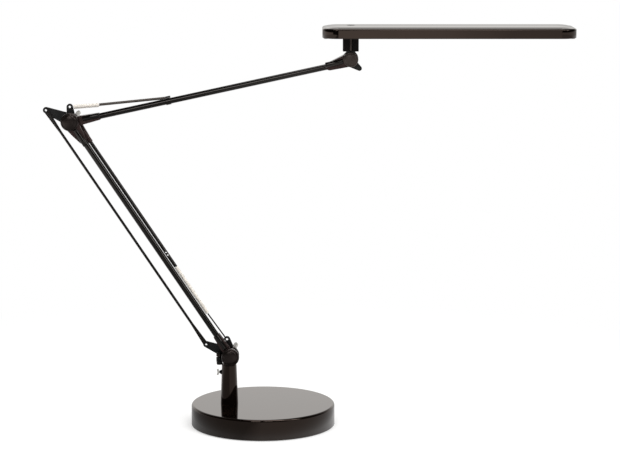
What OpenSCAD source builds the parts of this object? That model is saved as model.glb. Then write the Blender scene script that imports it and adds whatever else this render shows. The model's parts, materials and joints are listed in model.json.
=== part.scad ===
// Folding LED desk lamp: round weighted base, short post, two arms and a long flat head.
// A thin rod beside the lower arm keeps the elbow plate upright, and springs carry the arms.
// Origin: centre of the base's underside. +X points to the head, +Y to the rear, +Z up.
// All joints of the arms turn about axes along Y. Sizes are in millimetres.

/* [Base] */
// Diameter of the base
base_d = 204; // [190:1:240]
// Height of the base, with its pad
base_h = 30; // [28:0.5:40]
// Wall of the base cover
cover_wall = 2; // [1.6:0.1:3]
// Rounding of the base cover's upper edge
cover_edge_r = 3; // [1:0.5:6]
// Gap between the cover's rim and the table
rim_lift = 0.8; // [0.4:0.1:1.4]
// Thickness of the rubber pad
pad_t = 1.5; // [1.5:0.1:3]
// Distance from the base's edge to the pad
pad_inset = 7; // [4:0.5:12]
// Thickness of the steel bottom plate
plate_t = 1.5; // [1.5:0.1:2.5]
// Height of the cast weight
weight_h = 17; // [14:0.5:19]
// Gap between the cast weight and the cover's wall
weight_inset = 6; // [2:0.5:10]
// Distance of the screw bosses from the base's edge
boss_inset = 18; // [16:1:24]
// Diameter of a screw boss
boss_d = 9; // [8:0.5:12]
// Diameter of the base's screws
base_screw_d = 4; // [3:0.5:4.5]
// Length of the base's screws
base_screw_l = 14; // [8:1:18]

/* [Post] */
// Place of the post along X
post_x = -48; // [-60:1:-20]
// Height of the post above the base
post_h = 55.5; // [45:0.5:90]
// Diameter of the post at its foot
post_foot_d = 25; // [22:0.1:28]
// Diameter of the post at its top
post_top_d = 21.2; // [19.8:0.1:22]
// Diameter of the yoke's spigot in the post
spigot_d = 13.9; // [12:0.1:14.4]
// Length of the yoke's spigot
spigot_l = 39; // [25:0.5:41]
// Diameter of the bolt that holds the post
post_bolt_d = 10; // [8:1:10]
// Depth of the post bolt's thread in the post
post_thread_l = 14; // [10:0.5:15]
// Distance of the wing screw below the post's top
wing_screw_drop = 10.5; // [8:0.5:20]
// Diameter of the wing screw
wing_screw_d = 3; // [2.5:0.1:4]
// Length of the wing screw's cone-shaped boss
screw_boss_l = 3; // [3:0.5:8]

/* [Joints] */
// Height of the lower pivot above the post's top
pivot_rise = 13; // [12.9:0.1:16]
// Distance of the lower pivot from the post's axis
pivot_shift = 2; // [-2:0.5:2.5]
// Diameter of the pivot bolts
bolt_d = 6; // [5:0.5:7]
// Width of the bolt heads across their flats
bolt_head_w = 10; // [8:0.5:11]
// Height of the bolt heads
bolt_head_h = 4; // [3:0.1:4.4]
// Radius of the yoke's ears
yoke_ear_r = 12; // [11.5:0.1:13]
// Radius of the elbow's ears
elbow_ear_r = 11; // [10.5:0.1:12]
// Distance from the middle to an ear's inner face
ear_in = 5.2; // [5.1:0.1:5.6]
// Thickness of an ear
ear_t = 4.8; // [4:0.1:6]
// Half width of an arm's tongue
tongue_half = 4.2; // [3.4:0.1:4.3]
// Radius of an arm's tongue
tongue_r = 10; // [9:0.1:10.2]
// Radius of the friction washers
friction_r = 8; // [6:0.1:9]
// Radius of the covers over the bolt heads
cap_r = 12.6; // [11.5:0.1:12.9]
// Depth of the covers over the bolt heads
cap_depth = 5.5; // [5:0.1:7]
// Thickness of the steel washer under a wing nut
washer_t = 1.2; // [0.8:0.1:2]
// Radius of the steel washer under a wing nut
washer_r = 6.5; // [5:0.1:8]
// Span of a wing nut from tip to tip
wing_span = 33; // [26:0.5:36]
// Height of a wing nut's hub
wing_hub_h = 7; // [5:0.5:9]
// Thickness of a wing
wing_t = 2.4; // [1.5:0.1:3.5]
// Slant of the wings about their length
wing_slant = 35; // [0:1:45]

/* [Plates and tie rod] */
// Thickness of the linkage plates
link_plate_t = 3; // [2:0.1:4]
// Radius of a plate's round middle
hub_r = 11; // [9.5:0.1:11.4]
// Reach of the tie rod's pins to the left of the pivots
rod_reach = 35; // [30:0.5:42]
// Height of the tie rod's pins above the pivots
rod_rise = 14.5; // [10:0.5:20]
// Radius of a plate's arm at its tip
arm_tip_r = 4.4; // [4:0.1:6]
// Radius of a plate's arm at its root
arm_root_r = 9.5; // [7:0.1:9.5]
// Radius of a spring lug
lug_r = 4.5; // [3.8:0.1:5]
// Radius of the hole through the rivets
eyelet_r = 1.7; // [1:0.1:1.8]
// Wall of the hollow rivets
eyelet_wall = 0.6; // [0.4:0.1:0.9]
// Width of the rivets' flanges around the barrel
eyelet_flange = 1; // [0.5:0.1:1.2]
// Diameter of the tie rod
rod_d = 2.6; // [2:0.1:2.8]
// Radius of the tie rod's flattened eyes
rod_eye_r = 3.7; // [3.5:0.1:4.2]
// Thickness of the tie rod's flattened eyes
rod_eye_t = 2.2; // [1.4:0.1:2.4]
// Length over which the tie rod's ends widen
rod_taper_l = 45; // [20:1:80]
// Distance of the tie rod's centre from the arms' middle
rod_y = 8.3; // [8.3:0.1:8.6]

/* [Lower arm] */
// Distance between the pivots of the lower arm
lower_span = 402; // [300:1:460]
// Lean of the lower arm, from the table on the head's side
lower_lean = 123.5; // [110:0.5:124]
// Diameter of the arm tubes
tube_d = 8.3; // [7.5:0.1:8.3]
// Wall of the arm tubes
tube_wall = 0.8; // [0.6:0.1:1.2]
// Length of the fitting at the lower pivot
foot_l = 36; // [30:0.5:48]
// Height of the fitting at the lower pivot
lower_foot_w = 12; // [11:0.1:12.4]
// Length of the fitting at the elbow
fork_l = 36; // [34:0.5:48]
// Diameter of the spring sleeve
sleeve_d = 5.1; // [4.6:0.1:5.5]
// Diameter of the holes in the spring sleeve
sleeve_hole_d = 2.4; // [1.4:0.1:3]
// Distance of the spring line from the arm's middle line
spring_offset = 6.05; // [5.8:0.05:7]
// Distance of the springs from the arms' middle along Y
spring_y = 7.5; // [7.5:0.1:8]
// Place of the spring's upper end, from the lower pivot
spring_top = 149; // [120:1:180]
// Place of the spring's lower end, from the lower pivot
spring_end = 68; // [60:1:90]
// Diameter of the lower spring
spring_d = 5.5; // [4.6:0.1:5.5]
// Diameter of the springs' wire
wire_d = 1; // [0.8:0.1:1.2]
// Diameter of the hook's wire
hook_d = 2; // [1.4:0.1:2]

/* [Upper arm] */
// Distance between the pivots of the upper arm, along its tube
upper_span = 401; // [300:1:460]
// Slope of the upper arm
upper_slope = 12.25; // [5:0.25:30]
// Height of the elbow pivot above the upper tube's axis
elbow_rise = 1.6; // [0:0.1:1.8]
// Height of the head's pivot above the upper tube's axis
head_rise = 3.5; // [2:0.1:5]
// Length of the fitting at the elbow
upper_foot_l = 42; // [34:0.5:60]
// Height of the fitting at the elbow
upper_foot_w = 13; // [12:0.1:13]
// Length of the fitting at the head
upper_fork_l = 36; // [34:0.5:50]
// Diameter of the upper spring
upper_spring_d = 6; // [5:0.1:6]
// Diameter of the upper spring's rod
spring_rod_d = 2.5; // [2:0.1:3]
// Place of the rod's free end, from the elbow
rod_start = 43.9; // [38:0.5:50]
// Height of the rod's free end above the tube's axis
rod_start_rise = 14.8; // [14:0.1:18]
// Place of the rod's fixed end, from the elbow
rod_end = 140; // [110:0.5:150]
// Height of the rod's fixed end above the tube's axis
rod_end_rise = 4.6; // [4:0.1:8]
// Width of the band that holds the rod
band_w = 7; // [5:0.5:12]

/* [Head joint] */
// Radius of the head joint's ears
head_ear_r = 9.5; // [9:0.1:10]
// Distance from the middle to the inner face of an ear at the head
head_ear_in = 4.5; // [4.4:0.1:4.8]
// Thickness of an ear at the head
head_ear_t = 4; // [3:0.1:4]
// Half width of the knuckle's tongue
knuckle_half = 3.8; // [3:0.1:3.8]
// Radius of the knuckle's tongue
knuckle_r = 8.5; // [7.5:0.1:8.6]
// Diameter of the head's tilt bolt
head_bolt_d = 5; // [4:0.5:6]
// Radius of the cover over the tilt bolt's head
head_cap_r = 10.5; // [9:0.1:10.8]
// Radius of the tilt knob's hub
knob_r = 10.8; // [9:0.1:11]
// Reach of the tilt knob's blade to the right of the pivot
blade_x = 12.5; // [9:0.5:18]
// Drop of the tilt knob's blade below the pivot
blade_drop = 14; // [8:0.5:18]
// Height of the collar above the tilt pivot
collar_rise = 9.8; // [9.8:0.1:13]
// Height of the collar
collar_h = 1.4; // [1:0.1:3]
// Diameter of the collar
collar_d = 13.5; // [11:0.1:16]
// Diameter of the head's swivel pin
swivel_pin_d = 8; // [6:0.1:9]
// Width of the neck bracket
neck_w = 22; // [18:0.5:28]
// Depth of the neck bracket, front to rear
neck_depth = 20; // [16:0.5:20]
// Height of the neck bracket
neck_h = 19.8; // [16:0.1:30]
// Width of the groove down the neck bracket's front
neck_groove_w = 4.3; // [2:0.1:8]

/* [Head] */
// Length of the head
head_l = 350; // [250:1:420]
// Depth of the head, front to rear
head_w = 88; // [70:1:110]
// Thickness of the head
head_t = 16; // [15:0.5:22]
// Rounding of the head's corners, seen from above
head_corner_r = 22; // [8:1:32]
// Distance from the head's left end to the neck
neck_inset = 39.5; // [34:0.5:80]
// Wall of the head's cover
head_wall = 1.6; // [1.2:0.1:2.4]
// Rounding of the head cover's upper edge
head_edge_r = 4.5; // [2:0.1:4.5]
// Width of the frame around the light panel
frame_w = 10; // [8:0.5:16]
// Thickness of the frame that closes the head
frame_t = 1.6; // [1.2:0.1:2]
// Thickness of the diffuser
diffuser_t = 1.5; // [1:0.1:2]
// Thickness of the light guide
guide_t = 3; // [2:0.1:3.5]
// Number of LEDs
led_count = 28; // [8:1:40]
// Diameter of the dimmer button
button_d = 12; // [8:0.5:14]
// Travel of the dimmer button
button_travel = 0.8; // [0.4:0.1:1]

/* [Hidden] */

$fn = 64;
eps = 0.1;                 // overshoot of a cut past the face that it opens
slide_gap = 0.05;          // between two flat faces that slide on each other
run_gap = 0.05;            // around a shaft that turns in its bore
fit_gap = 0.1;             // around a piece that is fixed in its seat
clear_gap = 0.3;           // around a piece that passes a neighbour without touching it
sink = 0.5;                // depth to which one part of a casting runs into the next
screw_r = 1.5;             // radius of the small screws
screw_l = 9;               // length of the small screws
screw_head_r = 2.6;        // radius of the small screws' heads

// Base
base_r = base_d / 2;
plate_top = pad_t + plate_t;
cover_under = base_h - cover_wall;
plate_r = base_r - cover_wall - clear_gap;
weight_r = base_r - cover_wall - weight_inset;
base_screw_r = base_screw_d / 2;
boss_ring_r = base_r - boss_inset;
boss_angles = [45, 135, 225, 315];

// Post
post_top = base_h + post_h;
post_bolt_r = post_bolt_d / 2;
post_washer_r = 10;
post_washer_t = 2;
post_head_h = 6.4;
post_head_w = 1.7 * post_bolt_d;
well_r = post_washer_r + 1.5;
well_depth = post_washer_t + post_head_h + 0.6;
post_hub_r = well_r + 4.5;
spigot_r = spigot_d / 2;
spigot_bottom = post_top - spigot_l;
wing_screw_z = post_top - wing_screw_drop;
wing_screw_r = wing_screw_d / 2;
groove_depth = 1;

// Pivots, as [x, z]
lower_pivot = [post_x + pivot_shift, post_top + pivot_rise];
elbow_pivot = lower_pivot + lower_span * [cos(lower_lean), sin(lower_lean)];
pivot_offset = head_rise - elbow_rise;
head_pivot = elbow_pivot + [upper_span * cos(upper_slope) - pivot_offset * sin(upper_slope),
    upper_span * sin(upper_slope) + pivot_offset * cos(upper_slope)];

// Stack of the lower joint and the elbow along Y
bolt_r = bolt_d / 2;
ear_out = ear_in + ear_t;
plate_y = ear_out + slide_gap;
washer_y = plate_y + link_plate_t;
nut_y = washer_y + washer_t + slide_gap;
bolt_tip_y = nut_y + wing_hub_h + 1.5;
key_r = 1.25;
key_at = 7.5;
lower_nut_turn = -50;
elbow_nut_turn = -38;

// Plates, as [x, z] from their pivot
rod_pin = [-rod_reach, rod_rise];
bracket_lug = [-5.3, 21.6];
elbow_lug = [-1.7, 19];
lug_root = [0, 5];
lug_root_r = 6;
barrel_r = eyelet_r + eyelet_wall;
flange_r = barrel_r + eyelet_flange;
flange_t = 0.6;
lug_flange_t = 0.2;

// Gland beside the yoke
gland_x = lower_pivot.x - 16;
gland_y = 5.1;
gland_r = 4.6;
gland_neck_r = 3;
gland_top = lower_pivot.y + 4.4;
gland_eye_top = gland_top - 1.8;
gland_eye_h = 4;
gland_block_top = gland_eye_top - gland_eye_h - 1.2;
gland_block_h = 11;

// Lower arm: x runs down the arm from the elbow, z towards the head's side
tube_r = tube_d / 2;
tube_in_r = tube_r - tube_wall;
slot_l = 19;
socket_l = 22;
socket_r = sleeve_d / 2 + 1.05;
sleeve_start = fork_l - 6;
sleeve_end = lower_span - spring_top;
coil_end = lower_span - spring_end;
foot_neck = 14;
foot_half = 5;
foot_bore = 20;
set_screw_in = 7;
lead_r = 1.6;
loop_r = 3.2;
hook_y = plate_y - clear_gap - hook_d / 2;
lug_turn = lower_lean - 180;
lug_in_arm = [lower_span + bracket_lug.x * cos(lug_turn) + bracket_lug.y * sin(lug_turn),
    bracket_lug.y * cos(lug_turn) - bracket_lug.x * sin(lug_turn)];

// Rod of the upper spring, from its free end to its band, in the upper arm's frame
rod_from = [rod_start, spring_y, rod_start_rise - elbow_rise];
rod_to = [rod_end, spring_y, rod_end_rise - elbow_rise];
band_t = 0.8;
band_ear_h = 3;

// Head
head_ear_out = head_ear_in + head_ear_t;
head_bolt_r = head_bolt_d / 2;
spacer_t = neck_depth / 2 + clear_gap - head_ear_out;
knob_y = head_ear_out + spacer_t + slide_gap;
knob_h = 7;
head_cap_depth = 5;
head_bolt_head_w = 8;
head_bolt_head_h = 3.5;
pin_r = swivel_pin_d / 2;
collar_top = head_pivot.y + collar_rise + collar_h;
neck_bottom = collar_top + slide_gap;
head_bottom = neck_bottom + neck_h;
head_top = head_bottom + head_t;
head_left = head_pivot.x - neck_inset;
head_mid = head_left + head_l / 2;
pin_top = neck_bottom + neck_h - 8;
neck_well_r = 4.2;
neck_well_h = 4;
neck_screw_r = 2;
cover_ceiling = head_top - head_wall;
edge_bottom = head_top - head_edge_r;
window_left = head_left + neck_inset + neck_w / 2 + 12;
window_right = head_left + head_l - head_wall - frame_w;
window_l = window_right - window_left;
window_w = head_w - 2 * (head_wall + frame_w);
window_x = (window_left + window_right) / 2;
lip = 2.5;
panel_bottom = head_bottom + frame_t;
guide_bottom = panel_bottom + diffuser_t;
guide_w = window_w + 2 * lip;
led_t = 1;
led_board_t = 1;
led_y = guide_w / 2 + led_t + fit_gap;
board_x = head_left + neck_inset;
board_l = 2 * (window_left - lip - 1 - board_x);
board_w = 44;
board_t = 1.6;
board_z = head_bottom + frame_t + 4;
head_boss_r = 3.5;
head_screw_x = [for (side = [-1, 1]) side * (head_l / 2 - head_wall - head_boss_r + sink)];
screw_head_h = 1.2;
head_screw_y = head_w / 2 - head_corner_r;
button_r = button_d / 2;
switch_top = board_z + board_t + 2;

bronze = [0.16, 0.13, 0.12];
black = [0.05, 0.05, 0.05];
steel = [0.78, 0.78, 0.78];

// Extrudes a flat shape, drawn in x and z, from y0 to y1
module slab(y0, y1) translate([0, y1, 0]) rotate([90, 0, 0]) linear_extrude(y1 - y0) children();

// Round rod along Y from y0 to y1
module pin(r, y0, y1) translate([0, y1, 0]) rotate([90, 0, 0]) cylinder(r = r, h = y1 - y0);

// Turns a profile, drawn in radius and y, about the Y axis
module turned() rotate([-90, 0, 0]) rotate_extrude() children();

// Round bar between two points
module bar(from, to, r) {
    run = to - from;
    translate(from) rotate([0, acos(run.z / norm(run)), atan2(run.y, run.x)])
        cylinder(r = r, h = norm(run));
}

// Points of an arc around a centre, from one angle to another
function arc(centre, r, from, to, steps) =
    [for (i = [0:steps]) centre + r * [cos(from + (to - from) * i / steps),
        sin(from + (to - from) * i / steps)]];

// Outline around two circles and the straight tangents between them
module link(a, a_r, b, b_r) {
    turn = atan2(b.y - a.y, b.x - a.x);
    spread = acos((a_r - b_r) / norm(b - a));
    polygon(concat(arc(a, a_r, turn + spread, turn + 360 - spread, 24),
        arc(b, b_r, turn - spread, turn + spread, 24)));
}

// Rectangle with round corners, centred
module rounded(l, w, r) {
    square([l - 2 * r, w], center = true);
    square([l, w - 2 * r], center = true);
    for (x = [-1, 1], y = [-1, 1]) translate([x * (l / 2 - r), y * (w / 2 - r)]) circle(r);
}

// Places a piece at a pivot given as [x, z]
module at(pivot) translate([pivot.x, 0, pivot.y]) children();

// Frame of the lower arm: x down the arm from the elbow
module lower_frame() at(elbow_pivot) rotate([0, 180 - lower_lean, 0]) children();

// The same frame seen from the lower pivot: x up the arm
module lower_frame_up() lower_frame() translate([lower_span, 0, 0]) mirror([1, 0, 0]) children();

// Frame of the upper arm: x along the arm from the elbow
module upper_frame() at(elbow_pivot) rotate([0, -upper_slope, 0]) children();

// Frame of the upper arm seen from the head's pivot: x back down the arm
module upper_frame_back() at(head_pivot) rotate([0, -upper_slope, 0]) mirror([1, 0, 0]) children();

// Hexagon-headed bolt along Y with its head at the front
module pivot_bolt(r, head_w, head_h, head_back_y, tip_y) {
    pin(r, head_back_y, tip_y);
    translate([0, head_back_y, 0]) rotate([90, 0, 0])
        cylinder(d = head_w / cos(30), h = head_h, $fn = 6);
}

// Round cover pressed over a bolt's head, with a raised rim
module bolt_cap(r, depth, back_y, head_w, head_h) {
    front_y = back_y - depth;
    edge = 1.6;
    step = 0.9;
    difference() {
        turned() polygon(concat([[0, back_y], [r - step, back_y], [r - step, back_y - step],
            [r, back_y - step]], arc([r - edge, front_y + edge], edge, 0, -90, 8), [[0, front_y]]));
        pin(head_w / 2 / cos(30) + fit_gap, back_y - head_h - fit_gap, back_y + eps);
        turned() translate([r - edge - 2 * step / 3, front_y]) square([0.5, 0.8], center = true);
    }
}

// Pair of friction washers between a tongue and its ears
module washer_pair(r, hole_r, inner_y, outer_y) for (side = [-1, 1]) scale([1, side, 1])
    turned() translate([hole_r, inner_y]) square([r - hole_r, outer_y - inner_y]);

// Wing nut on a bolt along Y, standing on the face at nut_y
module wing_nut(turn) translate([0, nut_y, 0]) rotate([0, turn, 0]) difference() {
    hub_top_r = bolt_r + 2;
    hub_foot_r = bolt_r + 3;
    root_r = 2.6;
    tip_r = 3.8;
    wing_mid = wing_hub_h / 2 + 1.5;
    union() {
        turned() polygon([[0, 0], [hub_foot_r, 0], [hub_top_r, wing_hub_h], [0, wing_hub_h]]);
        translate([0, wing_mid, 0]) rotate([wing_slant, 0, 0]) for (side = [-1, 1])
            translate([0, 0, -wing_t / 2]) linear_extrude(wing_t)
                link([side * (bolt_r + 0.5), -2], root_r,
                    [side * (wing_span / 2 - tip_r), wing_hub_h - 3.8], tip_r);
    }
    pin(bolt_r + run_gap, -eps, 2 * wing_hub_h);
}

// Hollow rivet along Y with a flange at each end
module eyelet(y0, y1, front_t) turned() {
    translate([eyelet_r, y0 - front_t]) square([flange_r - eyelet_r, front_t]);
    translate([eyelet_r, y0]) square([eyelet_wall, y1 - y0]);
    translate([eyelet_r, y1]) square([flange_r - eyelet_r, flange_t]);
}

// Linkage plate: round middle, arm to the tie rod, lug to the spring
module link_plate(lug, lug_tip_r) slab(plate_y, plate_y + link_plate_t) difference() {
    union() {
        circle(hub_r);
        link([0, 0], arm_root_r, rod_pin, arm_tip_r);
        link(lug_root, lug_root_r, lug, lug_tip_r);
    }
    circle(bolt_r + run_gap);
    translate(rod_pin) circle(barrel_r + fit_gap);
    translate(lug) circle(barrel_r + fit_gap);
}

// Rivets of one plate: the long one carries the tie rod's eye
module plate_rivets(lug) {
    eye_front = rod_y - rod_eye_t / 2 - slide_gap;
    at(rod_pin) eyelet(eye_front, washer_y, flange_t);
    at(lug) eyelet(plate_y, washer_y, lug_flange_t);
}

// Fitting at the foot of an arm: a tongue for the joint and a socket for the tube
module arm_foot(w, l, drop) difference() {
    union() {
        pin(tongue_r, -tongue_half, tongue_half);
        slab(-tongue_half, tongue_half) translate([0, -drop - w / 2]) square([foot_neck, w]);
        slab(-foot_half, foot_half) polygon([[foot_neck, -drop - w / 2],
            [l, -drop - tube_r - 0.5], [l, -drop + tube_r + 0.5], [foot_neck, -drop + w / 2]]);
    }
    pin(bolt_r + run_gap, -foot_half - eps, foot_half + eps);
    translate([foot_bore, 0, -drop]) rotate([0, 90, 0]) cylinder(r = tube_r + run_gap, h = l);
    translate([l - set_screw_in, 0, -drop]) cylinder(r = screw_r, h = w);
}

// Fitting with two ears at the end of an arm, without its bores
module arm_fork(r, l, inner, outer, slot, drop) difference() {
    end_r = tube_r + 1.2;
    intersection() {
        slab(-outer, outer) link([0, 0], r, [l - end_r, -drop], end_r);
        translate([0, 0, -2 * r]) linear_extrude(4 * r)
            polygon([[-r, -outer], [slot, -outer], [l, -end_r], [l, end_r], [slot, outer],
                [-r, outer]]);
    }
    translate([-2 * r, -inner, -2 * r]) cube([2 * r + slot, 2 * inner, 4 * r]);
    translate([l - set_screw_in, 0, -drop]) cylinder(r = screw_r, h = r);
}

// Tube with its lead's path, from x0 to x1
module arm_tube(x0, x1) translate([x0, 0, 0]) rotate([0, 90, 0]) difference() {
    cylinder(r = tube_r, h = x1 - x0);
    translate([0, 0, -eps]) cylinder(r = tube_in_r, h = x1 - x0 + 2 * eps);
}

// Set screw that bears on the tube from above
module set_screw() translate([0, 0, tube_r + run_gap]) cylinder(r = screw_r, h = 1.2);

// Lead lying on the tube's inner wall, from x0 to x1
module arm_lead(x0, x1) translate([x0, 0, -tube_in_r + lead_r + clear_gap]) rotate([0, 90, 0])
    cylinder(r = lead_r, h = x1 - x0);

// Base: shell with four bosses for the plate's screws
module base_cover() color(bronze) difference() {
    union() {
        difference() {
            rotate_extrude($fn = 128) polygon(concat([[0, rim_lift], [base_r, rim_lift]],
                arc([base_r - cover_edge_r, base_h - cover_edge_r], cover_edge_r, 0, 90, 10),
                [[0, base_h]]));
            translate([0, 0, -eps])
                cylinder(r = base_r - cover_wall, h = cover_under + eps, $fn = 128);
        }
        for (turn = boss_angles) rotate(turn) translate([boss_ring_r, 0, plate_top])
            cylinder(d = boss_d, h = cover_under - plate_top + cover_wall / 2);
    }
    for (turn = boss_angles) rotate(turn) translate([boss_ring_r, 0, plate_top - eps])
        cylinder(r = base_screw_r, h = base_screw_l - plate_t + 1 + eps);
    translate([post_x, 0, cover_under - eps]) cylinder(r = post_bolt_r + fit_gap, h = 2 * cover_wall);
}

// Cast disc with a hub under the post and holes for the cover's bosses
module base_weight() color([0.25, 0.25, 0.27]) difference() {
    union() {
        translate([0, 0, plate_top]) cylinder(r = weight_r, h = weight_h, $fn = 128);
        translate([post_x, 0, plate_top]) cylinder(r = post_hub_r, h = cover_under - plate_top);
    }
    for (turn = boss_angles) rotate(turn) translate([boss_ring_r, 0, plate_top - eps])
        cylinder(d = boss_d + 2 * clear_gap, h = weight_h + 2 * eps);
    translate([post_x, 0, plate_top - eps]) {
        cylinder(r = well_r, h = well_depth + eps);
        cylinder(r = post_bolt_r + fit_gap, h = base_h);
    }
}

// Steel plate that closes the base, with countersunk holes
module base_plate() color(steel) difference() {
    translate([0, 0, pad_t]) cylinder(r = plate_r, h = plate_t, $fn = 128);
    for (turn = boss_angles) rotate(turn) translate([boss_ring_r, 0, pad_t]) {
        cylinder(r1 = base_screw_r + plate_t + fit_gap, r2 = base_screw_r + fit_gap, h = plate_t);
        translate([0, 0, -eps]) cylinder(r = base_screw_r + fit_gap, h = plate_t + 2 * eps);
    }
}

// Rubber pad glued under the plate
module base_pad() color(black) cylinder(r = base_r - pad_inset, h = pad_t, $fn = 128);

// Countersunk screws through the plate into the bosses
module base_screws() color(steel) for (turn = boss_angles)
    rotate(turn) translate([boss_ring_r, 0, pad_t]) {
        cylinder(r1 = base_screw_r + plate_t, r2 = base_screw_r, h = plate_t);
        cylinder(r = base_screw_r, h = base_screw_l);
    }

// Tapered post with a socket for the yoke's spigot
module post() color(bronze) difference() {
    translate([post_x, 0, base_h])
        cylinder(d1 = post_foot_d, d2 = post_top_d, h = post_h);
    translate([post_x, 0, base_h - eps]) cylinder(r = post_bolt_r, h = post_h);
    translate([post_x, 0, spigot_bottom - clear_gap])
        cylinder(r = spigot_r + run_gap, h = spigot_l + 2 * clear_gap);
    translate([post_x, 0, wing_screw_z]) rotate([0, -90, 0])
        cylinder(r = wing_screw_r + run_gap, h = post_foot_d);
}

// Bolt that pulls the post down on the weight's hub
module post_bolt() color(steel) translate([post_x, 0, plate_top + well_depth - post_washer_t]) {
    cylinder(r = post_bolt_r, h = base_h + post_thread_l - plate_top - well_depth + post_washer_t);
    translate([0, 0, -post_head_h]) cylinder(d = post_head_w / cos(30), h = post_head_h, $fn = 6);
}

// Washer between the bolt's head and the weight
module post_bolt_washer() color(steel)
    translate([post_x, 0, plate_top + well_depth - post_washer_t]) difference() {
        cylinder(r = post_washer_r, h = post_washer_t);
        translate([0, 0, -eps])
            cylinder(r = post_bolt_r + fit_gap, h = post_washer_t + 2 * eps);
    }

// Cone-shaped boss against the post, around the wing screw
module screw_boss() color(black) difference() {
    reach = post_top_d / 2 + screw_boss_l;
    root_r = 6 * wing_screw_r;
    translate([post_x, 0, wing_screw_z]) rotate([0, -90, 0])
        cylinder(r1 = root_r, r2 = wing_screw_r + 0.6, h = reach);
    translate([post_x, 0, base_h - eps])
        cylinder(d1 = post_foot_d, d2 = post_top_d, h = post_h + eps);
    translate([post_x, 0, wing_screw_z]) rotate([0, -90, 0])
        cylinder(r = wing_screw_r + run_gap, h = 2 * reach);
}

// Wing screw that bears in the spigot's groove and holds the swivel
module post_wing_screw() color(steel) translate([post_x, 0, wing_screw_z]) rotate([0, 0, 180]) {
    groove_r = spigot_r - groove_depth;
    head_x = post_top_d / 2 + screw_boss_l;
    thumb_t = 2.2;
    root_r = 1.5;
    translate([groove_r + clear_gap, 0, 0]) rotate([0, 90, 0])
        cylinder(r = wing_screw_r, h = head_x + root_r - groove_r - clear_gap);
    slab(-thumb_t / 2, thumb_t / 2) for (side = [-1, 1])
        link([head_x + slide_gap + root_r, 0], root_r, [head_x + 2.8, side * 3.3], 1.3);
}

// Yoke: spigot in the post, two ears for the lower arm, an eye for the gland
module swivel_yoke() color(bronze) difference() {
    union() {
        translate([post_x, 0, spigot_bottom]) cylinder(r = spigot_r, h = spigot_l + 1);
        translate([post_x, 0, post_top + slide_gap]) cylinder(r = ear_out - eps, h = pivot_rise - 2);
        at(lower_pivot) pin(yoke_ear_r, -ear_out, ear_out);
        translate([gland_x, gland_y, gland_eye_top - gland_eye_h])
            cylinder(r = gland_r, h = gland_eye_h);
        translate([gland_x, ear_in, gland_eye_top - gland_eye_h])
            cube([lower_pivot.x - gland_x - key_at, gland_r - 0.3, gland_eye_h]);
        at(lower_pivot) for (side = [-1, 1]) translate([side * key_at, 0, 0])
            pin(key_r, ear_out - 1, plate_y + link_plate_t - 0.5);
    }
    at(lower_pivot) pin(bolt_r + fit_gap, -2 * ear_out, 2 * ear_out);
    translate([lower_pivot.x - yoke_ear_r, -ear_in, lower_pivot.y - tongue_r - clear_gap])
        cube([3 * yoke_ear_r, 2 * ear_in, 3 * yoke_ear_r]);
    translate([post_x, 0, wing_screw_z]) rotate_extrude()
        translate([spigot_r - groove_depth, -wing_screw_r - clear_gap])
            square([2 * groove_depth, wing_screw_d + 2 * clear_gap]);
    translate([gland_x, gland_y, gland_eye_top - gland_eye_h - eps])
        cylinder(r = gland_neck_r + fit_gap, h = gland_eye_h + 2 * eps);
}

// Plate of the lower joint, keyed to the yoke's rear ear
module bracket_plate() color(black) at(lower_pivot) difference() {
    link_plate(bracket_lug, lug_r);
    for (side = [-1, 1]) translate([side * key_at, 0, 0])
        pin(key_r + fit_gap, plate_y - eps, washer_y + eps);
}

module bracket_rivets() color(steel) at(lower_pivot) plate_rivets(bracket_lug);

module lower_pivot_bolt() color(steel) at(lower_pivot)
    pivot_bolt(bolt_r, bolt_head_w, bolt_head_h, -ear_out, bolt_tip_y);

module lower_cap() color(black) at(lower_pivot)
    bolt_cap(cap_r, cap_depth, -ear_out, bolt_head_w, bolt_head_h);

module lower_washers() color([0.7, 0.7, 0.65]) at(lower_pivot)
    washer_pair(friction_r, bolt_r + run_gap, tongue_half + slide_gap, ear_in);

module lower_back_washer() color(steel) at(lower_pivot) turned()
    translate([bolt_r + run_gap, washer_y]) square([washer_r - bolt_r, washer_t]);

module lower_wing_nut() color(steel) at(lower_pivot) wing_nut(lower_nut_turn);

// Cord gland in the yoke's eye: collar, neck, and a block below
module cord_gland() color(black) translate([gland_x, gland_y, 0]) rotate_extrude() {
    bore_r = 2;
    block_r = gland_r - 0.1;
    translate([bore_r, gland_block_top]) square([gland_neck_r - bore_r,
        gland_top - gland_block_top]);
    translate([bore_r, gland_top - 0.9]) square([gland_r - 0.5 - bore_r, 0.9]);
    translate([bore_r, gland_block_top - gland_block_h])
        polygon([[0, 0], [block_r - bore_r - 0.4, 0], [block_r - bore_r, gland_block_h],
            [0, gland_block_h]]);
}

// Lower arm
module lower_foot() color(bronze) lower_frame_up() arm_foot(lower_foot_w, foot_l, 0);

module lower_tube() color(bronze) lower_frame()
    arm_tube(slot_l + 4, lower_span - foot_bore - clear_gap);

// Fork at the elbow, its rear ear widened into the sleeve's socket
module lower_fork() color(bronze) lower_frame() difference() {
    union() {
        arm_fork(elbow_ear_r, fork_l, ear_in, ear_out, slot_l, 0);
        slab(ear_in, ear_out)
            link([3, 3], elbow_ear_r - 2.5, [fork_l - 5, spring_offset], socket_r);
        translate([socket_l, spring_y, spring_offset]) rotate([0, 90, 0])
            cylinder(r = socket_r, h = fork_l + 4 - socket_l);
    }
    pin(bolt_r + fit_gap, -2 * ear_out, 2 * ear_out);
    translate([slot_l + 3, 0, 0]) rotate([0, 90, 0]) cylinder(r = tube_r + run_gap, h = fork_l);
    translate([sleeve_start, spring_y, spring_offset]) rotate([0, 90, 0])
        cylinder(r = sleeve_d / 2 + run_gap, h = fork_l);
}

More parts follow.
